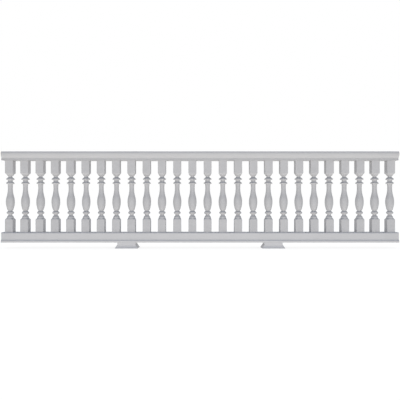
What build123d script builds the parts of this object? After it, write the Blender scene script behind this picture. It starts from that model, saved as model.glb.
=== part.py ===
from build123d import *
import math
import os

# A moulded polyurethane balustrade panel: a top rail, a bottom rail, a row of turned vase
# balusters with square ends, and two flared support blocks under the bottom rail.
# Millimetres, +Z up, X along the rails, the front towards -Y.
# The origin is on the floor, below the middle of the panel.

# Row of balusters
baluster_count = 26
baluster_pitch = 141.2
rail_end_margin = 64.0  # from the axis of the last baluster to the end of the rails

# Top rail section, depths measured from front to back
top_rail_height = 82.5
top_rail_depth = 127.0
top_rail_round = 20.0  # radius along the two top edges
top_rail_face_height = 8.0  # upright face below the rounded edge
top_rail_quirk = 2.0  # small step between the upright face and the ogee
top_rail_groove_height = 7.0  # shadow groove between the ogee and the fillet
top_rail_groove_depth = 6.0
top_rail_fillet_depth = 92.6  # plain fillet above the balusters
top_rail_fillet_height = 9.0

# Bottom rail section, depths measured from front to back
bottom_rail_height = 93.4
bottom_rail_depth = 104.0
bottom_rail_round = 12.0  # radius along the two top edges
plinth_depth = 122.0  # projecting band at the foot of the rail
plinth_height = 16.5
plinth_slope_height = 9.5  # slope from the band back to the face

# Support blocks
support_height = 53.5
support_width = 165.5
support_side_flare = 22.5  # how far the foot spreads along the rail, to each side
support_front_flare = 12.0  # how far it spreads to the front and to the back
support_flare_height = 36.0
support_foot_height = 2.0
support_spacing = 1351.0

# Square ends of a baluster
baluster_height = 663.1
square_side = 72.2
lower_square_height = 117.1
upper_square_height = 116.0
square_arris = 2.5  # rounding of the upright edges
hip_height = 14.5  # four-sided slope where the square narrows
hip_setback = 5.0
shoulder_height = 13.5  # cone that cuts the corners off the hip

# Turned shaft of a baluster
dome_radius = 31.0  # where the dome springs from the shoulder
lower_dome_height = 24.0
lower_dome_bulge = 4.0
upper_dome_height = 14.0
upper_dome_bulge = 3.0
neck_radius = 17.4
lower_neck_height = 10.0
upper_neck_height = 9.5
foot_throat_radius = 19.0  # plain neck between the foot collar and the vase
foot_throat_height = 2.5
bowl_height = 7.0  # underside of the vase
bowl_radius = 25.3
belly_rise = 77.5  # from the bowl to the widest place of the vase
belly_radius = 38.6
waist_radius = 21.2
waist_flare_height = 38.3
waist_flare_radius = 23.2
throat_height = 15.5  # plain neck between the two upper collars
throat_radius = 21.4
taper_bend_share = 0.38  # where the vase turns from swelling to hollow, along its taper

# Collars of the shaft, each with an underside, a rounded lip and a slope above it
bead_bulge = 2.5
foot_collar_radius = 32.5
foot_collar_underside = 7.5
foot_collar_lip = 14.5
foot_collar_slope = 9.0
lower_collar_radius = 36.8
lower_collar_underside = 2.0
lower_collar_lip = 11.0
lower_collar_slope = 9.0
upper_collar_radius = 36.8
upper_collar_underside = 2.0
upper_collar_lip = 11.0
upper_collar_slope = 13.5

# Levels and lengths that follow from the sizes above
rail_length = (baluster_count - 1) * baluster_pitch + 2 * rail_end_margin
bottom_rail_level = support_height
baluster_level = bottom_rail_level + bottom_rail_height
top_rail_level = baluster_level + baluster_height
first_baluster_x = -(baluster_count - 1) * baluster_pitch / 2
shaft_base = lower_square_height + shoulder_height
shaft_top = baluster_height - upper_square_height - shoulder_height


def reversed_curve(start, end, bend_share):
    """An S-shaped line of two arcs, upright at both ends, that turns at a share of its length."""
    bend = tuple(a + bend_share * (b - a) for a, b in zip(start, end))
    first = TangentArc(start, bend, tangent=(0, 1))
    return [first, TangentArc(bend, end, tangent=first % 1)]


def symmetric_face(half_lines):
    """A closed face from the lines of its right half, which start and end on the upright axis."""
    half = Curve() + half_lines
    return make_face(half + mirror(half, about=Plane.YZ))


def rail(half_lines):
    """A straight rail with the given half section, centred on X, its underside at zero."""
    section = Plane.YZ * symmetric_face(half_lines)
    return extrude(section, amount=rail_length / 2, both=True)


def top_rail():
    """The moulded handrail: fillet, shadow groove, ogee, quirk, upright face, rounded top edges."""
    half_fillet = top_rail_fillet_depth / 2
    half_depth = top_rail_depth / 2
    groove_foot = top_rail_fillet_height
    groove_head = groove_foot + top_rail_groove_height
    groove_back = half_fillet - top_rail_groove_depth

    # The ogee takes up what the round, the upright face and the quirk leave
    face_top = (half_depth, top_rail_height - top_rail_round)
    face_foot = (half_depth, face_top[1] - top_rail_face_height)
    ogee_top = (half_depth - top_rail_quirk, face_foot[1] - top_rail_quirk)
    ogee_foot = (half_fillet, groove_head)
    round_top = (half_depth - top_rail_round, top_rail_height)
    lines = [Polyline((0, 0), (half_fillet, 0), (half_fillet, groove_foot), (groove_back, groove_foot),
                      (groove_back, groove_head), ogee_foot)]
    lines += reversed_curve(ogee_foot, ogee_top, bend_share=1 / 2)
    lines += [Polyline(ogee_top, face_foot, face_top)]
    lines += [TangentArc(face_top, round_top, tangent=(0, 1))]
    lines += [Line(round_top, (0, top_rail_height))]
    return rail(lines)


def bottom_rail():
    """The lower rail: a projecting plinth band, a slope, an upright face and a flat top."""
    half_plinth = plinth_depth / 2
    half_depth = bottom_rail_depth / 2
    face_foot = (half_depth, plinth_height + plinth_slope_height)
    face_top = (half_depth, bottom_rail_height - bottom_rail_round)
    round_top = (half_depth - bottom_rail_round, bottom_rail_height)
    lines = [Polyline((0, 0), (half_plinth, 0), (half_plinth, plinth_height), face_foot, face_top)]
    lines += [TangentArc(face_top, round_top, tangent=(0, 1))]
    lines += [Line(round_top, (0, bottom_rail_height))]
    return rail(lines)


def flared_profile(half_width, flare, hollow):
    """Upright outline of a support block that spreads to its foot, in a straight or a hollow line."""
    half_foot = half_width + flare
    foot_top = (half_foot, support_foot_height)
    flare_top = (half_width, support_foot_height + support_flare_height)
    spread = TangentArc(flare_top, foot_top, tangent=(0, -1)) if hollow else Line(flare_top, foot_top)
    lines = [Polyline((0, 0), (half_foot, 0), foot_top), spread]
    lines += [Polyline(flare_top, (half_width, support_height), (0, support_height))]
    return symmetric_face(lines)


def support_block():
    """A block as deep as the plinth that spreads straight along the rail and hollow across it."""
    half_width = support_width / 2
    half_depth = plinth_depth / 2
    front_face = Plane.XZ * flared_profile(half_width, support_side_flare, hollow=False)
    side_face = Plane.YZ * flared_profile(half_depth, support_front_flare, hollow=True)
    front = extrude(front_face, amount=half_depth + support_front_flare, both=True)
    side = extrude(side_face, amount=half_width + support_side_flare, both=True)
    return front & side


def collar(root, radius, underside, lip, slope, head_radius):
    """Lines of one collar from its root upward, and the point where its slope ends."""
    edge_radius = radius - bead_bulge
    lip_foot = (edge_radius, root[1] + underside)
    lip_head = (edge_radius, lip_foot[1] + lip)
    head = (head_radius, lip_head[1] + slope)
    bead = ThreePointArc(lip_foot, (radius, (lip_foot[1] + lip_head[1]) / 2), lip_head)
    return [Line(root, lip_foot), bead, Line(lip_head, head)], head


def bulged_line(start, end, bulge):
    """An arc from start to end, on the left of the way from one to the other by the bulge."""
    chord = Vector(*end) - Vector(*start)
    outward = Vector(-chord.Y, chord.X).normalized() * bulge
    crown = (Vector(*start) + Vector(*end)) * (1 / 2) + outward
    return ThreePointArc(start, crown, end)


def shaft():
    """The turned shaft between the two square ends, with its domes, collars and vase."""
    dome_foot = (dome_radius, shaft_base)
    neck_foot = (neck_radius, shaft_base + lower_dome_height)
    neck_head = (neck_radius, neck_foot[1] + lower_neck_height)
    foot_lines, foot_throat = collar(
        neck_head, foot_collar_radius, foot_collar_underside, foot_collar_lip,
        foot_collar_slope, foot_throat_radius)
    bowl_foot = (foot_throat_radius, foot_throat[1] + foot_throat_height)
    bowl_head = (bowl_radius, bowl_foot[1] + bowl_height)
    belly = (belly_radius, bowl_head[1] + belly_rise)

    # The upper part is set out downward from the square end, so the vase takes up the rest
    dome_head = (dome_radius, shaft_top)
    upper_neck_head = (neck_radius, shaft_top - upper_dome_height)
    upper_collar_height = upper_collar_underside + upper_collar_lip + upper_collar_slope
    lower_collar_height = lower_collar_underside + lower_collar_lip + lower_collar_slope
    throat_head = (throat_radius, upper_neck_head[1] - upper_neck_height - upper_collar_height)
    throat_foot_level = throat_head[1] - throat_height
    flare_head = (waist_flare_radius, throat_foot_level - lower_collar_height)
    waist = (waist_radius, flare_head[1] - waist_flare_height)
    lower_lines, throat_foot = collar(
        flare_head, lower_collar_radius, lower_collar_underside, lower_collar_lip,
        lower_collar_slope, throat_radius)
    upper_lines, upper_neck_foot = collar(
        throat_head, upper_collar_radius, upper_collar_underside, upper_collar_lip,
        upper_collar_slope, neck_radius)

    lines = [Line((0, shaft_base), dome_foot)]
    lines += [bulged_line(neck_foot, dome_foot, lower_dome_bulge), Line(neck_foot, neck_head)]
    lines += foot_lines
    lines += [Polyline(foot_throat, bowl_foot, bowl_head)]
    lines += [TangentArc(belly, bowl_head, tangent=(0, -1))]
    lines += reversed_curve(belly, waist, taper_bend_share)
    lines += [TangentArc(waist, flare_head, tangent=(0, 1))]
    lines += lower_lines
    lines += [Line(throat_foot, throat_head)]
    lines += upper_lines
    lines += [Line(upper_neck_foot, upper_neck_head)]
    lines += [bulged_line(dome_head, upper_neck_head, upper_dome_bulge)]
    lines += [Line(dome_head, (0, shaft_top)), Line((0, shaft_top), (0, shaft_base))]
    return revolve(Plane.XZ * make_face(Curve() + lines), Axis.Z)


def square_end(post_height):
    """A square end on zero: a square post, its hip, and the cone that rounds the hip's corners."""
    shoulder_level = post_height + shoulder_height
    hip_side = square_side - 2 * hip_setback
    square = RectangleRounded(square_side, square_side, square_arris)
    hip_top = Pos(0, 0, post_height + hip_height) * RectangleRounded(hip_side, hip_side, square_arris)
    post = extrude(square, amount=post_height)
    hip = loft([Pos(0, 0, post_height) * square, hip_top])
    corner_radius = square_side / math.sqrt(2)
    turned = [(0, 0), (corner_radius, 0), (corner_radius, post_height), (dome_radius, shoulder_level)]
    turned += [(0, shoulder_level), (0, 0)]
    turned_end = revolve(Plane.XZ * make_face(Polyline(*turned)), Axis.Z)
    return (post + hip) & turned_end


def baluster():
    """One baluster standing on zero: the turned shaft between its two square ends."""
    upper_end = Pos(0, 0, baluster_height) * Rot(180, 0, 0) * square_end(upper_square_height)
    return square_end(lower_square_height) + shaft() + upper_end


def panel():
    """Every piece of the panel in its place, by name."""
    support = support_block()
    post = baluster()
    pieces = {
        "top_rail": Pos(0, 0, top_rail_level) * top_rail(),
        "bottom_rail": Pos(0, 0, bottom_rail_level) * bottom_rail(),
        "left_support_block": Pos(-support_spacing / 2, 0, 0) * support,
        "right_support_block": Pos(support_spacing / 2, 0, 0) * support,
    }
    for index in range(baluster_count):
        x = first_baluster_x + index * baluster_pitch
        pieces[f"baluster_{index + 1:02d}"] = Pos(x, 0, baluster_level) * post
    return pieces


os.makedirs("parts", exist_ok=True)
for name, piece in panel().items():
    export_step(piece, f"parts/{name}.step")
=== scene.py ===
"""Looks of a moulded polyurethane balustrade: primed rails, turned balusters and support blocks."""
import logging
import math
from dataclasses import dataclass
from enum import Enum
from typing import Any, Iterable

import bpy
import numpy as np
from mathutils import Matrix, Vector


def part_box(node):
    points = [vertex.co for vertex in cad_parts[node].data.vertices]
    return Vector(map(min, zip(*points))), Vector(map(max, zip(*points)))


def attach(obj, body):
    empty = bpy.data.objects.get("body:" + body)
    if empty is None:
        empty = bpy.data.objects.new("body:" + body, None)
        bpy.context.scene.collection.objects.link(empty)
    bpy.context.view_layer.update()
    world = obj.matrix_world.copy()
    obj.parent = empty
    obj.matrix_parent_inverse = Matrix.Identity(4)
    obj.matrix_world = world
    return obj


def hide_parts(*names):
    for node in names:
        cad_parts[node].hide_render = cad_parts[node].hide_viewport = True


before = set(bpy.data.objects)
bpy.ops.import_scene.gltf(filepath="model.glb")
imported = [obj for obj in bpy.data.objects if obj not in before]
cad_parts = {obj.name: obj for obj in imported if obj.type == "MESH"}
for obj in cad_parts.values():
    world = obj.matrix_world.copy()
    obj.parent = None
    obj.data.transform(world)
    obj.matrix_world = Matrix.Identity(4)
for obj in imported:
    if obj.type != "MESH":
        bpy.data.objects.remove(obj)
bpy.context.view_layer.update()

BODY = "root"
MM = 0.001
log = logging.getLogger("balustrade")

Point = tuple[float, float]
Colour = tuple[float, float, float]
Place = tuple[float, float, float]

WHITE = (1.0, 1.0, 1.0, 1.0)


class Slot(Enum):
    """Material slots of the record that the pieces belong to."""

    RAILS = "rails"
    BALUSTERS = "balusters"
    BLOCKS = "support_blocks"


class Side(Enum):
    """The two ends of the panel, as seen from its front."""

    LEFT = "left"
    RIGHT = "right"


class Outline:
    """A line drawn from point to point in a flat section, as (across, up) pairs in metres."""

    ARC_STEPS = 24
    EASE_STEPS = 6

    def __init__(self, start: Point) -> None:
        """Starts the line at a point."""
        self.points: list[np.ndarray] = [np.array(start, float)]

    def line(self, *ends: Point) -> "Outline":
        """Draws straight runs to each point in turn.

        Args:
            ends: The points to reach, in order.

        Returns:
            The same outline, to draw on.
        """
        self.points += [np.array(end, float) for end in ends]
        return self

    def arc(self, end: Point, tangent: Point) -> "Outline":
        """Draws an arc that leaves the last point along a tangent.

        Args:
            end: Where the arc ends.
            tangent: Its direction at the start.

        Returns:
            The same outline, to draw on.
        """
        start = self.points[-1]
        way = np.array(tangent, float) / np.linalg.norm(tangent)
        left = np.array((-way[1], way[0]))
        chord = np.array(end, float) - start
        half_turn = math.atan2(chord @ left, chord @ way)
        radius = chord @ chord / (2 * (chord @ left))
        turns = np.linspace(0, 2 * half_turn, self.ARC_STEPS + 1)[1:]
        self.points += [start + radius * (math.sin(t) * way + (1 - math.cos(t)) * left) for t in turns]
        return self

    def bulged(self, end: Point, bulge: float) -> "Outline":
        """Draws an arc that stands off its chord.

        Args:
            end: Where the arc ends.
            bulge: How far its middle lies to the right of the straight way.

        Returns:
            The same outline, to draw on.
        """
        chord = np.array(end, float) - self.points[-1]
        lean = -2 * math.atan2(2 * bulge, float(np.linalg.norm(chord)))
        turned = (chord[0] * math.cos(lean) - chord[1] * math.sin(lean),
                  chord[0] * math.sin(lean) + chord[1] * math.cos(lean))
        return self.arc(end, turned)

    def ogee(self, end: Point, bend_share: float) -> "Outline":
        """Draws an S of two arcs, upright at both ends.

        Args:
            end: Where the S ends.
            bend_share: Where it turns from one arc to the other, as a share of the way.

        Returns:
            The same outline, to draw on.
        """
        start = self.points[-1]
        bend = start + bend_share * (np.array(end, float) - start)
        upright = (0.0, math.copysign(1.0, end[1] - start[1]))
        self.arc(tuple(bend), upright)
        return self.arc(end, tuple(self.points[-1] - self.points[-2]))

    def softened(self, radius: float, turn: float = math.radians(6), reach: float = 8 * MM) -> np.ndarray:
        """Rounds every corner a little and keeps only the points that the shape needs.

        Args:
            radius: How far a corner is rounded, in metres.
            turn: Angle after which a bent stretch gets its next point.
            reach: Length after which a straight stretch gets its next point.

        Returns:
            The points as rows of (across, up).
        """
        line = np.array(self.points)
        along = np.concatenate(([0], np.cumsum(np.linalg.norm(np.diff(line, axis=0), axis=1))))
        width = self.EASE_STEPS
        step = radius / width
        places = np.linspace(0, along[-1], max(3, round(along[-1] / step)))
        dense = np.stack([np.interp(places, along, line[:, k]) for k in (0, 1)], 1)
        # A bell-shaped average rounds the corners, and the turned-over ends hold the end points in place.
        kernel = np.hanning(2 * width + 3)[1:-1]
        kernel /= kernel.sum()
        head = 2 * dense[0] - dense[width:0:-1]
        tail = 2 * dense[-1] - dense[-2:-width - 2:-1]
        padded = np.concatenate((head, dense, tail))
        smooth = np.stack([np.convolve(padded[:, k], kernel, "valid") for k in (0, 1)], 1)
        return thinned(smooth, turn, reach)


def thinned(line: np.ndarray, turn: float, reach: float) -> np.ndarray:
    """Drops the points of a dense line that its shape doesn't need.

    Args:
        line: Points as rows.
        turn: Angle after which the next point is kept.
        reach: Length after which the next point is kept.

    Returns:
        The kept points, the first and last among them.
    """
    steps = np.diff(line, axis=0)
    lengths = np.linalg.norm(steps, axis=1)
    headings = np.unwrap(np.arctan2(steps[:, 1], steps[:, 0]))
    kept, turned, run = [0], 0.0, 0.0
    for i in range(1, len(line) - 1):
        turned += abs(headings[i] - headings[i - 1])
        run += lengths[i - 1]
        if turned >= turn or run >= reach:
            kept.append(i)
            turned, run = 0.0, 0.0
    return line[kept + [len(line) - 1]]


def skin(name: str, rings: np.ndarray) -> bpy.types.Mesh:
    """Makes a closed mesh from a stack of rings.

    Args:
        name: The mesh's name.
        rings: Points as an array of rings, places on the ring and coordinates.

    Returns:
        The mesh, smooth on its sides and flat on its two ends.
    """
    count, around, _ = rings.shape
    here = np.arange(around)
    beside = np.roll(here, -1)
    starts = np.arange(count - 1)[:, None] * around
    quads = np.stack((starts + here, starts + beside, starts + around + beside, starts + around + here), 2)
    first = here[::-1].tolist()
    last = (here + (count - 1) * around).tolist()
    mesh = bpy.data.meshes.new(name)
    mesh.from_pydata(rings.reshape(-1, 3).tolist(), [], quads.reshape(-1, 4).tolist() + [first, last])
    smooth = np.ones(len(mesh.polygons), bool)
    smooth[-2:] = False
    mesh.polygons.foreach_set("use_smooth", smooth)
    mesh.validate()
    return mesh


def inset_loop(loop: np.ndarray, depth: float) -> np.ndarray:
    """Moves each point of a closed flat loop inward.

    Args:
        loop: Points as rows of (across, up), running anticlockwise.
        depth: How far each point moves.

    Returns:
        The moved points.
    """
    along = np.roll(loop, -1, 0) - np.roll(loop, 1, 0)
    inward = np.stack((-along[:, 1], along[:, 0]), 1)
    return loop + depth * inward / np.linalg.norm(inward, axis=1, keepdims=True)


class NodeSheet:
    """A node tree with short calls to place and join its nodes."""

    # Where a Mix node keeps its factor, its two colours and the mixed colour.
    MIX_INPUTS = (0, 6, 7)
    MIX_RESULT = 2

    def __init__(self, tree: bpy.types.NodeTree) -> None:
        """Takes a tree and clears it."""
        self.tree = tree
        tree.nodes.clear()

    def add(self, kind: str, settings: dict[str, Any] | None = None, **inputs: Any) -> bpy.types.Node:
        """Places a node, with its settings and inputs.

        Args:
            kind: The node's type name.
            settings: Values for the node's own properties.
            inputs: Sockets or plain values by input name, spaces as underscores.

        Returns:
            The node.
        """
        node = self.tree.nodes.new(kind)
        for key, value in (settings or {}).items():
            setattr(node, key, value)
        for key, value in inputs.items():
            self.join(value, node.inputs[key.replace("_", " ")])
        return node

    def join(self, value: Any, socket: bpy.types.NodeSocket) -> None:
        """Links a socket to an input, or sets the input's plain value.

        Args:
            value: A socket to link, or a plain value.
            socket: The input.
        """
        if isinstance(value, bpy.types.NodeSocket):
            self.tree.links.new(value, socket)
        else:
            socket.default_value = value

    def math(self, operation: str, *values: Any) -> bpy.types.NodeSocket:
        """Places a sum.

        Args:
            operation: The Math node's operation.
            values: Sockets or numbers, in order.

        Returns:
            The result's socket.
        """
        node = self.add("ShaderNodeMath", {"operation": operation})
        for socket, value in zip(node.inputs, values):
            self.join(value, socket)
        return node.outputs[0]

    def blend(self, factor: Any, first: Any, second: Any) -> bpy.types.NodeSocket:
        """Mixes two colours.

        Args:
            factor: Share of the second colour.
            first: The colour at zero.
            second: The colour at one.

        Returns:
            The mixed colour's socket.
        """
        node = self.add("ShaderNodeMix", {"data_type": "RGBA"})
        for index, value in zip(self.MIX_INPUTS, (factor, first, second)):
            self.join(value, node.inputs[index])
        return node.outputs[self.MIX_RESULT]

    def group_sockets(self, inputs: dict[str, float | Colour], outputs: dict[str, str]) -> bpy.types.Node:
        """Gives a node group its sockets.

        Args:
            inputs: Each input's name and its usual value, a number or a colour.
            outputs: Each output's name and its socket type.

        Returns:
            The group's input node.
        """
        for name, value in inputs.items():
            number = isinstance(value, float)
            kind = "NodeSocketFloat" if number else "NodeSocketColor"
            socket = self.tree.interface.new_socket(name=name, in_out="INPUT", socket_type=kind)
            socket.default_value = value if number else (*value, 1.0)
        for name, kind in outputs.items():
            self.tree.interface.new_socket(name=name, in_out="OUTPUT", socket_type=kind)
        return self.tree.nodes.new("NodeGroupInput")

    def group_result(self, **results: bpy.types.NodeSocket) -> None:
        """Joins sockets to the group's outputs.

        Args:
            results: The socket for each output, by the output's name.
        """
        out = self.tree.nodes.new("NodeGroupOutput")
        for name, socket in results.items():
            self.tree.links.new(socket, out.inputs[name])


class PrimerEffects:
    """Node groups that the primed finishes share."""

    SEED_SPREAD = 40.0
    PATCH_DETAIL = 3.0
    SPECK_DETAIL = 2.0
    WAVE_DETAIL = 1.0
    # The stretch of the noise that goes from thin to full primer.
    MOTTLE_SPAN = (0.4, 0.6)
    # How far up a face looks, from where the dust and painted shade begin to where they are full.
    DUST_AND_SHADE_SLOPES = (0.1, 0.75)
    LEAST_DRIFT = 0.4

    def __init__(self) -> None:
        """Builds each group once."""
        self.mottle = self._mottle()
        self.peel = self._peel()
        self.dust_and_shade = self._dust_and_shade()

    @staticmethod
    def _sheet(name: str) -> NodeSheet:
        """A new, empty node group to draw in."""
        return NodeSheet(bpy.data.node_groups.new(name, "ShaderNodeTree"))

    def _noise(self, sheet: NodeSheet, scale: Any, detail: float) -> bpy.types.NodeSocket:
        """Noise over the surface that differs from piece to piece.

        Args:
            sheet: The group to draw in.
            scale: Waves to a metre.
            detail: How many finer waves lie on it.

        Returns:
            The noise's socket, from zero to one.
        """
        place = sheet.add("ShaderNodeTexCoord").outputs["Object"]
        piece = sheet.add("ShaderNodeObjectInfo").outputs["Random"]
        seed = sheet.math("MULTIPLY", piece, self.SEED_SPREAD)
        settings = {"noise_dimensions": "4D"}
        noise = sheet.add("ShaderNodeTexNoise", settings, Vector=place, W=seed, Scale=scale, Detail=detail)
        return noise.outputs[0]

    def _mottle(self) -> bpy.types.NodeTree:
        """Draws the faint cloudy patches and specks where the primer took unevenly.

        Returns:
            A group that gives the primer's colour and roughness.
        """
        sheet = self._sheet("Primer mottle")
        usual = {"Thin": (0.5, 0.5, 0.5), "Full": (0.6, 0.6, 0.6), "Patch scale": 9.0, "Speck scale": 160.0,
                 "Speck share": 0.3, "Matt": 0.6, "Matt change": 0.1}
        given = sheet.group_sockets(usual, {"Color": "NodeSocketColor", "Roughness": "NodeSocketFloat"})
        patches = self._noise(sheet, given.outputs["Patch scale"], self.PATCH_DETAIL)
        specks = self._noise(sheet, given.outputs["Speck scale"], self.SPECK_DETAIL)
        apart = sheet.math("SUBTRACT", specks, patches)
        mixed = sheet.math("MULTIPLY_ADD", apart, given.outputs["Speck share"], patches)
        least, most = self.MOTTLE_SPAN
        spread = sheet.add("ShaderNodeMapRange", Value=mixed, From_Min=least, From_Max=most).outputs[0]
        colour = sheet.blend(spread, given.outputs["Thin"], given.outputs["Full"])
        change = sheet.math("MULTIPLY", sheet.math("SUBTRACT", specks, 0.5), given.outputs["Matt change"])
        sheet.group_result(Color=colour, Roughness=sheet.math("ADD", given.outputs["Matt"], change))
        return sheet.tree

    def _peel(self) -> bpy.types.NodeTree:
        """Draws the sprayed surface: fine orange peel on the mould's slow waves.

        Returns:
            A group that gives the surface's height.
        """
        sheet = self._sheet("Orange peel")
        usual = {"Peel scale": 330.0, "Wave scale": 14.0, "Wave share": 0.5}
        given = sheet.group_sockets(usual, {"Height": "NodeSocketFloat"})
        peel = self._noise(sheet, given.outputs["Peel scale"], self.SPECK_DETAIL)
        waves = self._noise(sheet, given.outputs["Wave scale"], self.WAVE_DETAIL)
        height = sheet.math("MULTIPLY_ADD", waves, given.outputs["Wave share"], peel)
        sheet.group_result(Height=height)
        return sheet.tree

    def _dust_and_shade(self) -> bpy.types.NodeTree:
        """Draws thin dust and painted shade on faces that look up, darkening and cooling them the more they
        look up.

        Returns:
            A group that gives the mask of the dust and painted shade.
        """
        sheet = self._sheet("Dust and painted shade")
        given = sheet.group_sockets({"Amount": 0.3, "Drift scale": 22.0}, {"Mask": "NodeSocketFloat"})
        normal = sheet.add("ShaderNodeNewGeometry").outputs["Normal"]
        upward = sheet.add("ShaderNodeSeparateXYZ", Vector=normal).outputs["Z"]
        steep, flat = self.DUST_AND_SHADE_SLOPES
        # The more a face looks up, the more painted shade and dust it gets.
        level = sheet.add("ShaderNodeMapRange", Value=upward, From_Min=steep, From_Max=flat).outputs[0]
        drift = self._noise(sheet, given.outputs["Drift scale"], self.PATCH_DETAIL)
        patchy = sheet.math("MULTIPLY", level, sheet.math("ADD", drift, self.LEAST_DRIFT))
        sheet.group_result(Mask=sheet.math("MULTIPLY", patchy, given.outputs["Amount"]))
        return sheet.tree


@dataclass(frozen=True)
class PrimedFinish:
    """Matt light grey primer on moulded polyurethane foam.

    Attributes:
        name: The material's name.
        shade: Colour of a full coat.
        thin_share: How light a thin coat is, as a share of the full one.
        patch_scale: Waves of the cloudy patches to a metre.
        speck_scale: Waves of the specks to a metre.
        speck_share: Share of the specks in the mottling.
        matt: Roughness of the coat.
        matt_change: How much the specks change the roughness.
        peel_scale: Waves of the orange peel to a metre.
        wave_scale: Waves of the mould to a metre.
        peel_depth: Height that the bump stands for.
        peel_strength: Share of the bump that shows.
        dust_and_shade_amount: How much dust and painted shade lie on faces that look up.
        dust_and_shade_colour: Colour of the dust and painted shade, darker and cooler than the primer.
        shine: Strength of the reflection on the coat.
    """

    name: str
    shade: Colour
    thin_share: float = 0.972
    patch_scale: float = 9.0
    speck_scale: float = 160.0
    speck_share: float = 0.3
    matt: float = 0.62
    matt_change: float = 0.14
    peel_scale: float = 330.0
    wave_scale: float = 14.0
    peel_depth: float = 0.2 * MM
    peel_strength: float = 0.5
    dust_and_shade_amount: float = 0.45
    # Darker and cooler than the primer: painted shade of the dark cool ceiling, with thin dust.
    dust_and_shade_colour: Colour = (0.388, 0.405, 0.440)
    shine: float = 0.3

    def material(self, effects: PrimerEffects) -> bpy.types.Material:
        """Makes the finish as a material.

        Args:
            effects: The shared node groups.

        Returns:
            The material.
        """
        made = bpy.data.materials.new(self.name)
        made.use_nodes = True
        sheet = NodeSheet(made.node_tree)
        thin = tuple(channel * self.thin_share for channel in self.shade)
        mottle = sheet.add("ShaderNodeGroup", {"node_tree": effects.mottle}, Thin=(*thin, 1.0),
                           Full=(*self.shade, 1.0), Patch_scale=self.patch_scale,
                           Speck_scale=self.speck_scale, Speck_share=self.speck_share, Matt=self.matt,
                           Matt_change=self.matt_change)
        dust_and_shade = sheet.add("ShaderNodeGroup", {"node_tree": effects.dust_and_shade}, Amount=self.dust_and_shade_amount)
        peel = sheet.add("ShaderNodeGroup", {"node_tree": effects.peel}, Peel_scale=self.peel_scale,
                         Wave_scale=self.wave_scale)
        # Faces that look up are darkened and cooled: painted shade, with thin dust.
        colour = sheet.blend(dust_and_shade.outputs["Mask"], mottle.outputs["Color"], (*self.dust_and_shade_colour, 1.0))
        bump = sheet.add("ShaderNodeBump", Height=peel.outputs["Height"], Distance=self.peel_depth,
                         Strength=self.peel_strength)
        shader = sheet.add("ShaderNodeBsdfPrincipled", Base_Color=colour, Normal=bump.outputs[0],
                           Roughness=mottle.outputs["Roughness"], Specular_IOR_Level=self.shine)
        sheet.add("ShaderNodeOutputMaterial", Surface=shader.outputs[0])
        return made


class SubAssembly:
    """One or more like pieces that stand for solids of the frame."""

    slot: Slot

    def place(self, name: str, mesh: bpy.types.Mesh, node: str,
              material: bpy.types.Material) -> bpy.types.Object:
        """Puts a finished mesh in the scene in place of a solid.

        Args:
            name: The piece's name.
            mesh: Its mesh, already where the solid is.
            node: The solid that it stands for.
            material: Its finish.

        Returns:
            The piece.
        """
        mesh.materials.append(material)
        piece = bpy.data.objects.new(name, mesh)
        bpy.context.scene.collection.objects.link(piece)
        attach(piece, BODY)
        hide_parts(node)
        return piece

    def dress(self, material: bpy.types.Material) -> list[bpy.types.Object]:
        """Builds the pieces, gives them their finish and returns them."""
        raise NotImplementedError


@dataclass
class MouldedRail(SubAssembly):
    """A straight rail with one section from end to end.

    Attributes:
        node: The solid that the rail stands for.
        arris: How far the section's corners are rounded.
        end_arris: How far the edges of the end faces are eased.
        end_bow_share: Where the middle of an eased edge lies, as a share of the easing.
        station_gap: Length between two rings of the mesh.
    """

    node: str
    arris: float = 1.2 * MM
    end_arris: float = 1.0 * MM
    end_bow_share: float = 0.3
    station_gap: float = 0.25
    slot: Slot = Slot.RAILS

    def half_outline(self) -> Outline:
        """The right half of the section, from the middle of the underside to the middle of the top."""
        raise NotImplementedError

    def section(self) -> np.ndarray:
        """The whole section as a closed loop.

        Returns:
            Points as rows of (depth, height), anticlockwise, above the underside.
        """
        half = self.half_outline().softened(self.arris)
        half[0, 0] = half[-1, 0] = 0.0
        mirrored = half[-2:0:-1] * (-1.0, 1.0)
        return np.concatenate((half, mirrored))

    def build(self) -> bpy.types.Mesh:
        """Runs the section along the solid's length, with eased ends.

        Returns:
            The rail's mesh.
        """
        low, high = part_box(self.node)
        loop = self.section()
        bow = self.end_bow_share * self.end_arris
        eased = [(0.0, self.end_arris), (bow, bow), (self.end_arris, 0.0)]
        inner = round((high.x - low.x) / self.station_gap)
        stations = [(low.x + run, depth) for run, depth in eased]
        stations += [(x, 0.0) for x in np.linspace(low.x, high.x, inner + 1)[1:-1]]
        stations += [(high.x - run, depth) for run, depth in reversed(eased)]
        rings = np.empty((len(stations), len(loop), 3))
        for ring, (x, depth) in zip(rings, stations):
            ring[:, 0] = x
            ring[:, 1:] = inset_loop(loop, depth) + (0.0, low.z)
        return skin(self.node + "_skin", rings)

    def dress(self, material: bpy.types.Material) -> list[bpy.types.Object]:
        """Builds the rail, gives it its finish and returns it."""
        return [self.place("primed_" + self.node, self.build(), self.node, material)]


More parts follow.
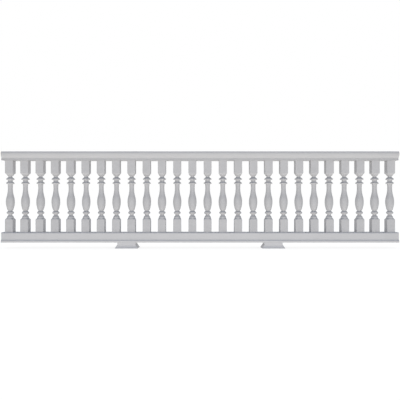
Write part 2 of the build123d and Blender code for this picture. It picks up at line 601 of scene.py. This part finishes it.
@dataclass
class TopRail(MouldedRail):
    """The handrail: plain fillet, shadow groove, ogee, quirk, upright face and rounded top edges."""

    node: str = "top_rail"
    height: float = 82.5 * MM
    depth: float = 127 * MM
    fillet_depth: float = 92.6 * MM
    fillet_height: float = 9 * MM
    groove_height: float = 7 * MM
    groove_depth: float = 6 * MM
    ogee_height: float = 36.5 * MM
    ogee_bend_share: float = 0.5
    quirk: float = 2 * MM
    edge_round: float = 20 * MM

    def half_outline(self) -> Outline:
        """Draws the right half of the section, from the middle of the underside to the middle of the top.

        Returns:
            The outline.
        """
        fillet, face = self.fillet_depth / 2, self.depth / 2
        groove_foot, groove_back = self.fillet_height, fillet - self.groove_depth
        groove_head = groove_foot + self.groove_height
        quirk_level = groove_head + self.ogee_height
        outline = Outline((0, 0)).line((fillet, 0), (fillet, groove_foot), (groove_back, groove_foot))
        outline.line((groove_back, groove_head), (fillet, groove_head))
        outline.ogee((face - self.quirk, quirk_level), self.ogee_bend_share)
        outline.line((face, quirk_level + self.quirk), (face, self.height - self.edge_round))
        outline.arc((face - self.edge_round, self.height), (0, 1))
        return outline.line((0, self.height))


@dataclass
class BottomRail(MouldedRail):
    """The lower rail: projecting plinth band, slope, upright face and flat top."""

    node: str = "bottom_rail"
    height: float = 93.4 * MM
    depth: float = 104 * MM
    plinth_depth: float = 122 * MM
    plinth_height: float = 16.5 * MM
    slope_height: float = 9.5 * MM
    edge_round: float = 12 * MM

    def half_outline(self) -> Outline:
        """Draws the right half of the section, from the middle of the underside to the middle of the top.

        Returns:
            The outline.
        """
        plinth, face = self.plinth_depth / 2, self.depth / 2
        outline = Outline((0, 0)).line((plinth, 0), (plinth, self.plinth_height))
        outline.line((face, self.plinth_height + self.slope_height), (face, self.height - self.edge_round))
        outline.arc((face - self.edge_round, self.height), (0, 1))
        return outline.line((0, self.height))


@dataclass
class SupportBlock(SubAssembly):
    """A block under the bottom rail, with a straight flare along the rail and a hollow one across it.

    Attributes:
        side: The end of the panel that the block is nearer to.
        side_flare: How far the foot stands out at each end of the block.
        front_flare: How far the foot stands out in front and behind.
        flare_height: Height of both flares.
        foot_height: Height of the upright band at the floor.
        floor_arris: How far the lowest edge is eased.
        top_arris: How far the top edge is eased.
        holding_arrises: Where a ring holds the top edge crisp, in arrises below it.
        corner: Radius of the upright corners.
        corner_steps: Faces round a corner.
        edge_steps: Faces along a side.
        flare_steps: Faces up the flare.
    """

    side: Side
    side_flare: float = 22.5 * MM
    front_flare: float = 12 * MM
    flare_height: float = 36 * MM
    foot_height: float = 2 * MM
    floor_arris: float = 0.8 * MM
    top_arris: float = 0.4 * MM
    holding_arrises: float = 3.0
    corner: float = 1.6 * MM
    corner_steps: int = 4
    edge_steps: int = 10
    flare_steps: int = 12
    slot: Slot = Slot.BLOCKS

    @property
    def node(self) -> str:
        """The solid that the block stands for."""
        return f"{self.side.value}_support_block"

    def spreads(self, height: float) -> list[tuple[float, float, float]]:
        """How far the block stands out from its upper part, from the floor up.

        Args:
            height: The block's height.

        Returns:
            The spread along the rail, the spread across it and the level, for each ring.
        """
        hollow = 2 * math.atan2(self.front_flare, self.flare_height)
        radius = self.flare_height / math.sin(hollow)
        side, front, eased = self.side_flare, self.front_flare, self.floor_arris
        levels = [(side - eased, front - eased, 0.0), (side, front, eased)]
        for share in np.linspace(0, 1, self.flare_steps + 1):
            below_head = (1 - share) * self.flare_height
            sunk = radius - math.sqrt(radius ** 2 - below_head ** 2)
            levels.append(((1 - share) * side, sunk, self.foot_height + share * self.flare_height))
        edge = self.top_arris
        held = height - self.holding_arrises * edge
        return levels + [(0.0, 0.0, held), (0.0, 0.0, height - edge), (-edge, -edge, height)]

    def loop(self, half_width: float, half_depth: float) -> np.ndarray:
        """A rectangle with rounded corners.

        Args:
            half_width: Half its size along the rail.
            half_depth: Half its size from front to back.

        Returns:
            Points as rows of (along, back), anticlockwise.
        """
        points = []
        for quarter, (right, back) in enumerate(((1, 1), (-1, 1), (-1, -1), (1, -1))):
            turns = (quarter + np.linspace(0, 1, self.corner_steps + 1)) * math.pi / 2
            middle = np.array((right * (half_width - self.corner), back * (half_depth - self.corner)))
            points.append(middle + self.corner * np.stack((np.cos(turns), np.sin(turns)), 1))
        loop = []
        for here, following in zip(points, points[1:] + points[:1]):
            shares = np.linspace(0, 1, self.edge_steps + 1)[1:-1, None]
            loop += [here, here[-1] + shares * (following[0] - here[-1])]
        return np.concatenate(loop)

    def build(self) -> bpy.types.Mesh:
        """Stacks rectangles from the foot to the top.

        Returns:
            The block's mesh.
        """
        low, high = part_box(self.node)
        middle = (low + high) / 2
        half = (high - low) / 2
        rings = []
        for along, across, level in self.spreads(high.z - low.z):
            flat = self.loop(half.x - self.side_flare + along, half.y - self.front_flare + across)
            upright = np.full((len(flat), 1), low.z + level)
            rings.append(np.hstack((flat + (middle.x, middle.y), upright)))
        return skin(self.node + "_skin", np.array(rings))

    def dress(self, material: bpy.types.Material) -> list[bpy.types.Object]:
        """Builds the block, gives it its finish and returns it."""
        return [self.place(f"flared_block_{self.side.value}", self.build(), self.node, material)]


@dataclass(frozen=True)
class Collar:
    """A turned collar: an underside, a rounded lip and a slope above it."""

    radius: float
    underside: float
    lip: float
    slope: float
    bulge: float = 2.5 * MM

    @property
    def height(self) -> float:
        """The collar's whole height."""
        return self.underside + self.lip + self.slope

    def draw(self, outline: Outline, head_radius: float) -> None:
        """Draws the collar on from the outline's last point.

        Args:
            outline: The turned outline, drawn upward.
            head_radius: Where the slope ends.
        """
        level = outline.points[-1][1]
        edge = self.radius - self.bulge
        outline.line((edge, level + self.underside))
        outline.bulged((edge, level + self.underside + self.lip), self.bulge)
        outline.line((head_radius, level + self.height))


@dataclass
class BalusterRow(SubAssembly):
    """The row of turned vase balusters with square ends.

    Each height is that of its own stretch, and radii are those of the turned shape.

    Attributes:
        square_arris: Radius of the square ends' upright corners.
        hip_setback: How far the hip leans in over its height.
        shoulder_height: Height over which the turned cone cuts the square's corners.
        taper_bend_share: Where the taper turns from round to hollow, as a share of its height.
        turned_arris: How far corners of the turned shape are rounded.
        turned_step: Longest stretch between rings of the turned shape.
        turned_turn: Angle after which the turned shape gets its next ring.
        square_step: Longest stretch between levels that a square end is drawn from.
        square_turn: Angle after which a square end gets its next level.
        crease_blend: Width over which the crease between square and turned faces is eased.
        end_arris: How far the edges of the end faces are eased.
        holding_arrises: How far from the end face its rings are kept, in arrises.
        hip_step: Height between rings on the hip.
        hip_reach: Stretch before the hip in which rings are kept.
        post_shares: The first and last of the even rings on a square end, as shares of its height.
        face_steps: Faces along a side of the square.
        corner_steps: Faces round a corner of the square.
        post_levels: Even rings on a square end.
    """

    square_side: float = 72.2 * MM
    lower_square_height: float = 117.1 * MM
    upper_square_height: float = 116 * MM
    square_arris: float = 2.5 * MM
    hip_height: float = 14.5 * MM
    hip_setback: float = 5 * MM
    shoulder_height: float = 13.5 * MM
    dome_radius: float = 31 * MM
    lower_dome_height: float = 24 * MM
    lower_dome_bulge: float = 4 * MM
    upper_dome_height: float = 14 * MM
    upper_dome_bulge: float = 3 * MM
    neck_radius: float = 17.4 * MM
    lower_neck_height: float = 10 * MM
    upper_neck_height: float = 9.5 * MM
    foot_throat_radius: float = 19 * MM
    foot_throat_height: float = 2.5 * MM
    bowl_height: float = 7 * MM
    bowl_radius: float = 25.3 * MM
    belly_rise: float = 77.5 * MM
    belly_radius: float = 38.6 * MM
    waist_radius: float = 21.2 * MM
    waist_flare_height: float = 38.3 * MM
    waist_flare_radius: float = 23.2 * MM
    throat_height: float = 15.5 * MM
    throat_radius: float = 21.4 * MM
    taper_bend_share: float = 0.38
    foot_collar: Collar = Collar(32.5 * MM, 7.5 * MM, 14.5 * MM, 9 * MM)
    lower_collar: Collar = Collar(36.8 * MM, 2 * MM, 11 * MM, 9 * MM)
    upper_collar: Collar = Collar(36.8 * MM, 2 * MM, 11 * MM, 13.5 * MM)
    turned_arris: float = 1.4 * MM
    turned_step: float = 7 * MM
    turned_turn: float = math.radians(7)
    square_step: float = 2 * MM
    square_turn: float = math.radians(2)
    crease_blend: float = 3 * MM
    end_arris: float = 0.8 * MM
    holding_arrises: float = 3.0
    hip_step: float = 1 * MM
    hip_reach: float = 8 * MM
    post_shares: Point = (0.2, 0.8)
    face_steps: int = 14
    corner_steps: int = 4
    post_levels: int = 4
    slot: Slot = Slot.BALUSTERS

    @staticmethod
    def nodes() -> list[str]:
        """The solids of the row, from left to right."""
        return sorted(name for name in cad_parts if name.startswith("baluster_"))

    def turned_outline(self, height: float) -> np.ndarray:
        """The turned shape from the lower shoulder to the upper one.

        Args:
            height: The whole baluster's height.

        Returns:
            Points as rows of (radius, height).
        """
        corner = self.square_side / math.sqrt(2)
        base = self.lower_square_height + self.shoulder_height
        top = height - self.upper_square_height - self.shoulder_height
        outline = Outline((corner, self.lower_square_height)).line((self.dome_radius, base))
        neck = base + self.lower_dome_height
        outline.bulged((self.neck_radius, neck), self.lower_dome_bulge)
        outline.line((self.neck_radius, neck + self.lower_neck_height))
        self.foot_collar.draw(outline, self.foot_throat_radius)
        bowl_foot = outline.points[-1][1] + self.foot_throat_height
        bowl_head = bowl_foot + self.bowl_height
        outline.line((self.foot_throat_radius, bowl_foot), (self.bowl_radius, bowl_head))
        lean = 2 * math.atan2(self.belly_rise, self.belly_radius - self.bowl_radius) - math.pi / 2
        outline.arc((self.belly_radius, bowl_head + self.belly_rise), (math.cos(lean), math.sin(lean)))
        upper_neck = top - self.upper_dome_height
        throat = upper_neck - self.upper_neck_height - self.upper_collar.height
        flare = throat - self.throat_height - self.lower_collar.height
        outline.ogee((self.waist_radius, flare - self.waist_flare_height), self.taper_bend_share)
        outline.arc((self.waist_flare_radius, flare), (0, 1))
        self.lower_collar.draw(outline, self.throat_radius)
        outline.line((self.throat_radius, throat))
        self.upper_collar.draw(outline, self.neck_radius)
        outline.line((self.neck_radius, upper_neck))
        outline.bulged((self.dome_radius, top), self.upper_dome_bulge)
        outline.line((corner, height - self.upper_square_height))
        return outline.softened(self.turned_arris, self.turned_turn, self.turned_step)

    def square_outline(self, square_height: float) -> np.ndarray:
        """Half the side of a square end at each level from its outer end.

        Args:
            square_height: The height of its upright faces.

        Returns:
            Points as rows of (half side, distance from the end).
        """
        half = self.square_side / 2
        outline = Outline((half - self.end_arris, 0)).line((half, self.end_arris), (half, square_height))
        outline.line((half - self.hip_setback, square_height + self.hip_height))
        return outline.softened(self.end_arris, self.square_turn, self.square_step)

    def angles(self) -> np.ndarray:
        """Spaces the points of a ring, closer together at the square's corners.

        Returns:
            Directions from the axis, once round.
        """
        flat = self.square_side / 2 - self.square_arris
        start = math.atan2(flat, self.square_side / 2)
        face = np.linspace(-start, start, self.face_steps + 1)[:-1]
        corner = np.linspace(start, math.pi / 2 - start, self.corner_steps + 1)[:-1]
        quarter = np.concatenate((face, corner))
        return np.concatenate([quarter + k * math.pi / 2 for k in range(4)])

    def square_reach(self, half: float, angles: np.ndarray) -> np.ndarray:
        """Distance from the axis to a square with rounded corners.

        Args:
            half: Half the square's side.
            angles: Directions from the axis.

        Returns:
            The distance in each direction.
        """
        turned = np.abs((angles + math.pi / 4) % (math.pi / 2) - math.pi / 4)
        flat = half / np.cos(turned)
        middle = math.sqrt(2) * (half - self.square_arris)
        off = turned - math.pi / 4
        inside = np.maximum(self.square_arris ** 2 - (middle * np.sin(off)) ** 2, 0)
        rounded = middle * np.cos(off) + np.sqrt(inside)
        at_corner = flat * np.sin(turned) > half - self.square_arris
        return np.where(at_corner, rounded, flat)

    def crossing(self, first: np.ndarray, second: np.ndarray) -> np.ndarray:
        """The nearer of two surfaces, with the crease between them eased.

        Args:
            first: Distances to one surface.
            second: Distances to the other.

        Returns:
            The eased distances.
        """
        nearness = np.maximum(self.crease_blend - np.abs(first - second), 0) / self.crease_blend
        return np.minimum(first, second) - nearness ** 2 * self.crease_blend / 4

    def end_rings(self, square_height: float, turned: np.ndarray) -> list[np.ndarray]:
        """Rings of a square end, from its outer end to where only the turned shape is left.

        Args:
            square_height: The height of its upright faces.
            turned: The turned shape as rows of (radius, distance from the end), from the end inward.

        Returns:
            Rings of points, standing on the end.
        """
        square = self.square_outline(square_height)
        angles = self.angles()
        corner = self.square_side / math.sqrt(2)
        cone = (corner - self.dome_radius) / self.shoulder_height
        edges = square[:, 1][square[:, 1] < square_height]
        by_end = edges < self.holding_arrises * self.end_arris
        edges = edges[by_end | (edges > square_height - self.hip_reach)]
        few = np.linspace(*self.post_shares, self.post_levels) * square_height
        hip = np.arange(square_height, square_height + self.hip_height, self.hip_step)
        rings = []
        for level in np.concatenate((np.unique(np.concatenate((edges, few))), hip)):
            radius = np.interp(level, turned[:, 1], turned[:, 0])
            radius += cone * max(square_height - level, 0)
            half = np.interp(level, square[:, 1], square[:, 0])
            reach = self.crossing(np.full(len(angles), radius), self.square_reach(half, angles))
            rings.append(self.ring(reach, level))
        return rings

    def ring(self, reach: np.ndarray | float, level: float) -> np.ndarray:
        """Points round the axis at one level.

        Args:
            reach: Distance from the axis, one for all or one for each direction.
            level: Height of the ring.

        Returns:
            Points as rows.
        """
        angles = self.angles()
        return np.stack((reach * np.cos(angles), reach * np.sin(angles), np.full(len(angles), level)), 1)

    def rings(self, height: float) -> np.ndarray:
        """All rings of a baluster that stands on zero at the middle.

        Args:
            height: The baluster's height.

        Returns:
            Rings of points.
        """
        turned = self.turned_outline(height)
        lower = self.end_rings(self.lower_square_height, turned)
        upper = self.end_rings(self.upper_square_height, turned[::-1] * (1, -1) + (0, height))
        first = self.lower_square_height + self.hip_height
        last = height - self.upper_square_height - self.hip_height
        shaft = [self.ring(radius, level) for radius, level in turned if first < level < last]
        hung = [ring * (1, 1, -1) + (0, 0, height) for ring in reversed(upper)]
        return np.array(lower + shaft + hung)

    def dress(self, material: bpy.types.Material) -> list[bpy.types.Object]:
        """Builds one baluster and sets a copy of it in place of each solid.

        Args:
            material: The balusters' finish.

        Returns:
            The balusters, from left to right.
        """
        nodes = self.nodes()
        low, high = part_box(nodes[0])
        pattern = skin("turned_baluster", self.rings(high.z - low.z))
        row = []
        for node in nodes:
            low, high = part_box(node)
            mesh = pattern.copy()
            mesh.name = node + "_skin"
            mesh.transform(Matrix.Translation(((low.x + high.x) / 2, (low.y + high.y) / 2, low.z)))
            row.append(self.place("turned_" + node, mesh, node, material))
        bpy.data.meshes.remove(pattern)
        return row


@dataclass(frozen=True)
class Viewpoint:
    """The photograph's camera: level, in front of the panel's middle.

    Attributes:
        lens_mm: Focal length.
        sensor_mm: Width of the sensor.
        distance: How far the camera stands in front of the balusters' axes.
        height: Its height above the floor.
    """

    lens_mm: float = 41.0
    sensor_mm: float = 36.0
    distance: float = 4.240
    height: float = 0.4448

    def set_up(self) -> None:
        """Makes the camera and looks through it."""
        data = bpy.data.cameras.new("view")
        data.lens = self.lens_mm
        data.sensor_width = self.sensor_mm
        camera = bpy.data.objects.new("view", data)
        camera.location = (0.0, -self.distance, self.height)
        camera.rotation_euler = (math.pi / 2, 0.0, 0.0)
        bpy.context.scene.collection.objects.link(camera)
        bpy.context.scene.camera = camera


@dataclass(frozen=True)
class Studio:
    """A white studio: even light all round, a dark ceiling with a roof light, a soft lamp at the camera.

    Edges in the world's light are given as the height of a direction: 1 straight up, -1 straight down.

    Attributes:
        level: Strength of the light from the walls.
        floor_bounce: Strength added straight from below.
        bounce_spread: How narrow that light is, as a power.
        ceiling: Change of strength from the walls to the ceiling.
        ceiling_edge: Where the ceiling has taken over from the walls.
        roof_light: Strength added straight from above.
        roof_light_edge: Where the roof light begins.
        ceiling_tint: Colour of the ceiling's light.
        floor_edge: Where the light from below has its full tint.
        floor_tint: Colour of the light from below.
        lamp: Strength of the lamp at any distance.
        lamp_radius: Radius of the lamp.
        lamp_place: Where the lamp stands.
        floor_half: Half a side of the floor.
        floor_white: How light the floor's matt colour is.
        floor_glow: Light of its own that the floor shows to the camera and in reflections.
        floor_drop: How far the floor lies below the panel.
        shadow_reach: How near a piece has to be to shade the floor.
        shadow_depth: Share of the glow that the deepest shade takes away.
    """

    level: float = 0.95
    floor_bounce: float = 0.95
    bounce_spread: float = 6.0
    ceiling: float = -0.67
    ceiling_edge: float = 0.6
    roof_light: float = 1.3
    roof_light_edge: float = 0.85
    ceiling_tint: Colour = (0.88, 0.98, 1.18)
    floor_edge: float = -0.6
    floor_tint: Colour = (1.015, 1.0, 0.965)
    lamp: float = 1.10
    lamp_radius: float = 0.5
    lamp_place: Place = (0.0, -4.3, 0.40)
    floor_half: float = 30.0
    floor_white: float = 0.18
    floor_glow: float = 0.93
    floor_drop: float = 0.2 * MM
    shadow_reach: float = 0.35
    shadow_depth: float = 0.17

    @staticmethod
    def seen_directly(sheet: NodeSheet) -> bpy.types.NodeSocket:
        """Tells rays that see the background from those that it lights.

        Args:
            sheet: The node tree to draw in.

        Returns:
            One where the camera, a reflection or a clear piece sees it, else zero.
        """
        path = sheet.add("ShaderNodeLightPath").outputs
        seen = sheet.math("MAXIMUM", path["Is Camera Ray"], path["Is Glossy Ray"])
        return sheet.math("MAXIMUM", seen, path["Is Transmission Ray"])

    def light(self) -> None:
        """Lights the scene from all round: even walls, warm ground, a dark cool ceiling with a roof light."""
        world = bpy.data.worlds.new("studio")
        bpy.context.scene.world = world
        world.use_nodes = True
        sheet = NodeSheet(world.node_tree)
        way = sheet.add("ShaderNodeTexCoord").outputs["Generated"]
        height = sheet.add("ShaderNodeSeparateXYZ", Vector=way).outputs["Z"]
        kind, soft_edge = "ShaderNodeMapRange", {"interpolation_type": "SMOOTHSTEP"}
        ceiling = sheet.add(kind, soft_edge, Value=height, From_Max=self.ceiling_edge).outputs[0]
        roof = sheet.add(kind, soft_edge, Value=height, From_Min=self.roof_light_edge).outputs[0]
        ground = sheet.add(kind, soft_edge, Value=height, From_Max=self.floor_edge).outputs[0]
        walls = sheet.math("MULTIPLY_ADD", ceiling, self.ceiling, self.level)
        walls = sheet.math("MULTIPLY_ADD", roof, self.roof_light, walls)
        depth = sheet.math("MAXIMUM", sheet.math("MULTIPLY", height, -1.0), 0.0)
        below = sheet.math("POWER", depth, self.bounce_spread)
        strength = sheet.math("MULTIPLY_ADD", below, self.floor_bounce, walls)
        warm = sheet.blend(ground, WHITE, (*self.floor_tint, 1.0))
        cool = sheet.blend(ceiling, warm, (*self.ceiling_tint, 1.0))
        tint = sheet.blend(roof, cool, WHITE)
        # The panel is lit by the soft colours, and the camera sees plain white behind it.
        soft = sheet.add("ShaderNodeBackground", Color=tint, Strength=strength)
        white = sheet.add("ShaderNodeBackground", Color=WHITE, Strength=1.0)
        both = sheet.add("ShaderNodeMixShader")
        for socket, value in zip(both.inputs, (self.seen_directly(sheet), soft.outputs[0], white.outputs[0])):
            sheet.join(value, socket)
        sheet.add("ShaderNodeOutputWorld", Surface=both.outputs[0])

    def front_lamp(self) -> None:
        """Sets one large soft lamp at the camera, as strong on the panel's ends as on its middle."""
        data = bpy.data.lights.new("front_lamp", "POINT")
        data.shadow_soft_size = self.lamp_radius
        data.use_nodes = True
        sheet = NodeSheet(data.node_tree)
        even = sheet.add("ShaderNodeLightFalloff", Strength=self.lamp).outputs["Constant"]
        glow = sheet.add("ShaderNodeEmission", Color=WHITE, Strength=even)
        sheet.add("ShaderNodeOutputLight", Surface=glow.outputs[0])
        lamp = bpy.data.objects.new("front_lamp", data)
        lamp.location = self.lamp_place
        bpy.context.scene.collection.objects.link(lamp)

    def floor(self) -> None:
        """Lays a plain white floor that keeps a faint shadow."""
        half = self.floor_half
        corners = [(-half, -half, 0.0), (half, -half, 0.0), (half, half, 0.0), (-half, half, 0.0)]
        mesh = bpy.data.meshes.new("studio_floor")
        mesh.from_pydata(corners, [], [(0, 1, 2, 3)])
        material = bpy.data.materials.new("white_floor")
        material.use_nodes = True
        sheet = NodeSheet(material.node_tree)
        matt = sheet.add("ShaderNodeBsdfDiffuse", Color=(*(self.floor_white,) * 3, 1.0))
        # Light from below passes through the floor and fills cast shadows, so the shade is drawn here.
        openness = sheet.add("ShaderNodeAmbientOcclusion", Distance=self.shadow_reach).outputs["AO"]
        shaded = sheet.math("MULTIPLY_ADD", openness, self.shadow_depth, 1.0 - self.shadow_depth)
        lift = sheet.math("MULTIPLY", self.seen_directly(sheet), self.floor_glow)
        glow = sheet.add("ShaderNodeEmission", Color=WHITE, Strength=sheet.math("MULTIPLY", lift, shaded))
        both = sheet.add("ShaderNodeAddShader")
        for socket, shader in zip(both.inputs, (matt, glow)):
            sheet.join(shader.outputs[0], socket)
        sheet.add("ShaderNodeOutputMaterial", Surface=both.outputs[0])
        mesh.materials.append(material)
        floor = bpy.data.objects.new("studio_floor", mesh)
        floor.location.z = -self.floor_drop
        floor.visible_diffuse = False
        bpy.context.scene.collection.objects.link(floor)

    def set_up(self) -> None:
        """Makes the light and the floor, and shows colours as they are."""
        bpy.context.scene.view_settings.view_transform = "Standard"
        self.light()
        self.front_lamp()
        self.floor()


# One grey primer in lit and shaded copies: the top rail and balusters are painted darker (painted shade) and
# the blocks lighter (painted light) than the bottom rail.
TOP_RAIL_PRIMER_SHADED = PrimedFinish("top_rail_primer_shaded", (0.523, 0.520, 0.526), thin_share=0.98, dust_and_shade_amount=0.2)
BOTTOM_RAIL_PRIMER = PrimedFinish("bottom_rail_primer", (0.565, 0.560, 0.566), dust_and_shade_amount=0.75)
BALUSTER_PRIMER_SHADED = PrimedFinish("baluster_primer_shaded", (0.525, 0.520, 0.527), thin_share=0.93, patch_scale=14.0,
                               speck_scale=85.0, speck_share=0.55, dust_and_shade_amount=1.0,
                               dust_and_shade_colour=(0.376, 0.385, 0.408))
BLOCK_PRIMER_LIT = PrimedFinish("block_primer_lit", (0.575, 0.569, 0.579), patch_scale=11.0, dust_and_shade_amount=0.8)


def main() -> None:
    """Builds the studio, then each sub-assembly in its finish."""
    logging.basicConfig(level=logging.INFO, format="%(name)s: %(message)s")
    Viewpoint().set_up()
    Studio().set_up()
    effects = PrimerEffects()
    finished: list[tuple[PrimedFinish, list[SubAssembly]]] = [
        (BOTTOM_RAIL_PRIMER, [BottomRail()]),
        (TOP_RAIL_PRIMER_SHADED, [TopRail()]),
        (BLOCK_PRIMER_LIT, [SupportBlock(side) for side in Side]),
        (BALUSTER_PRIMER_SHADED, [BalusterRow()]),
    ]
    for finish, assemblies in finished:
        material = finish.material(effects)
        for assembly in assemblies:
            for piece in assembly.dress(material):
                log.info("%s: %d faces in %s", piece.name, len(piece.data.polygons), finish.name)


if __name__ == "__main__":
    main()
